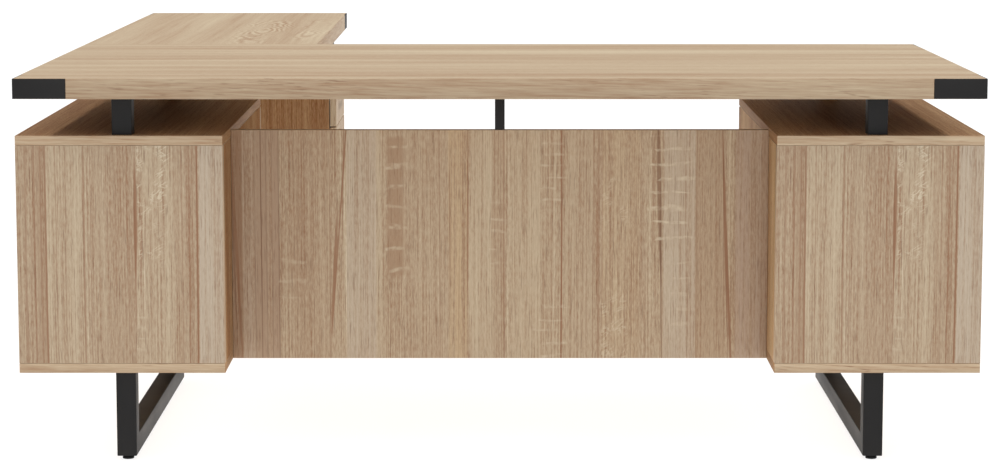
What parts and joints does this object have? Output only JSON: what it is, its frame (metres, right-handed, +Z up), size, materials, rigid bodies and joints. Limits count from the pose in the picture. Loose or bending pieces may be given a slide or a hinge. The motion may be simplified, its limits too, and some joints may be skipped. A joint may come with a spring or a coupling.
{
  "type": "corner desk",
  "caption": "L-shaped corner desk with floating drawer pedestals, a modesty panel, black corner accents and square-tube sled legs; the return is on the left.",
  "frame": {"origin": "on the floor, under the centre of the bounding box", "axes": "+Z up; +X to the right as a visitor facing the desk sees it; +Y from the visitor's edge towards the user, along the return"},
  "size_m": [1.8288, 2.078, 0.7366],
  "materials": {
    "oak_laminate": "pale oak laminate, satin, visible grain",
    "drawer_laminate": "plain light laminate, matt",
    "black_steel": "black powder coat, fine texture",
    "zinc_steel": "bright zinc",
    "black_plastic": "black, matt"
  },
  "bodies": {
    "desk": {"main_top": "oak_laminate", "return_top": "oak_laminate", "modesty_panel": "oak_laminate", "accent_front_left": "black_steel", "accent_front_right": "black_steel", "accent_back_right": "black_steel", "accent_return_left": "black_steel", "accent_return_right": "black_steel", "centre_support": "black_steel", "left_pedestal_top": "oak_laminate", "left_pedestal_bottom": "oak_laminate", "left_pedestal_back": "oak_laminate", "left_pedestal_side_a": "oak_laminate", "left_pedestal_side_b": "oak_laminate", "left_runner_plate_a": "zinc_steel", "left_runner_plate_b": "zinc_steel", "left_sled_leg": "black_steel", "left_standoff": "black_steel", "right_pedestal_top": "oak_laminate", "right_pedestal_bottom": "oak_laminate", "right_pedestal_back": "oak_laminate", "right_pedestal_side_a": "oak_laminate", "right_pedestal_side_b": "oak_laminate", "right_runner_plate_a": "zinc_steel", "right_runner_plate_b": "zinc_steel", "right_sled_leg": "black_steel", "right_standoff": "black_steel", "return_pedestal_top": "oak_laminate", "return_pedestal_bottom": "oak_laminate", "return_pedestal_back": "oak_laminate", "return_pedestal_side_a": "oak_laminate", "return_pedestal_side_b": "oak_laminate", "return_runner_plate_a": "zinc_steel", "return_runner_plate_b": "zinc_steel", "return_sled_leg": "black_steel", "return_standoff": "black_steel"},
    "left_upper_drawer": {"left_upper_drawer_front": "oak_laminate", "left_upper_drawer_box": "drawer_laminate", "left_upper_drawer_pull": "black_steel"},
    "left_lower_drawer": {"left_lower_drawer_front": "oak_laminate", "left_lower_drawer_box": "drawer_laminate", "left_lower_drawer_pull": "black_steel"},
    "right_upper_drawer": {"right_upper_drawer_front": "oak_laminate", "right_upper_drawer_box": "drawer_laminate", "right_upper_drawer_pull": "black_steel"},
    "right_lower_drawer": {"right_lower_drawer_front": "oak_laminate", "right_lower_drawer_box": "drawer_laminate", "right_lower_drawer_pull": "black_steel"},
    "return_upper_drawer": {"return_upper_drawer_front": "oak_laminate", "return_upper_drawer_box": "drawer_laminate", "return_upper_drawer_pull": "black_steel"},
    "return_lower_drawer": {"return_lower_drawer_front": "oak_laminate", "return_lower_drawer_box": "drawer_laminate", "return_lower_drawer_pull": "black_steel"},
    "left_glide_back": {"left_glide_back": "black_plastic"},
    "left_glide_front": {"left_glide_front": "black_plastic"},
    "right_glide_back": {"right_glide_back": "black_plastic"},
    "right_glide_front": {"right_glide_front": "black_plastic"},
    "return_glide_back": {"return_glide_back": "black_plastic"},
    "return_glide_front": {"return_glide_front": "black_plastic"}
  },
  "joints": [
    {"name": "left_upper_drawer_slide", "type": "slide", "parent": "desk", "child": "left_upper_drawer", "axis": [0, 1, 0], "range_m": [0, 0.6]},
    {"name": "left_lower_drawer_slide", "type": "slide", "parent": "desk", "child": "left_lower_drawer", "axis": [0, 1, 0], "range_m": [0, 0.6]},
    {"name": "right_upper_drawer_slide", "type": "slide", "parent": "desk", "child": "right_upper_drawer", "axis": [0, 1, 0], "range_m": [0, 0.6]},
    {"name": "right_lower_drawer_slide", "type": "slide", "parent": "desk", "child": "right_lower_drawer", "axis": [0, 1, 0], "range_m": [0, 0.6]},
    {"name": "return_upper_drawer_slide", "type": "slide", "parent": "desk", "child": "return_upper_drawer", "axis": [1, 0, 0], "range_m": [0, 0.4]},
    {"name": "return_lower_drawer_slide", "type": "slide", "parent": "desk", "child": "return_lower_drawer", "axis": [1, 0, 0], "range_m": [0, 0.4]},
    {"name": "left_glide_back_turn", "type": "hinge", "parent": "desk", "child": "left_glide_back", "pos_m": [-0.7144, -0.987, 0], "axis": [0, 0, 1], "continuous": true},
    {"name": "left_glide_front_turn", "type": "hinge", "parent": "desk", "child": "left_glide_front", "pos_m": [-0.7144, -0.245, 0], "axis": [0, 0, 1], "continuous": true},
    {"name": "right_glide_back_turn", "type": "hinge", "parent": "desk", "child": "right_glide_back", "pos_m": [0.7144, -0.987, 0], "axis": [0, 0, 1], "continuous": true},
    {"name": "right_glide_front_turn", "type": "hinge", "parent": "desk", "child": "right_glide_front", "pos_m": [0.7144, -0.245, 0], "axis": [0, 0, 1], "continuous": true},
    {"name": "return_glide_back_turn", "type": "hinge", "parent": "desk", "child": "return_glide_back", "pos_m": [-0.8794, 0.853, 0], "axis": [0, 0, 1], "continuous": true},
    {"name": "return_glide_front_turn", "type": "hinge", "parent": "desk", "child": "return_glide_front", "pos_m": [-0.4464, 0.853, 0], "axis": [0, 0, 1], "continuous": true}
  ]
}
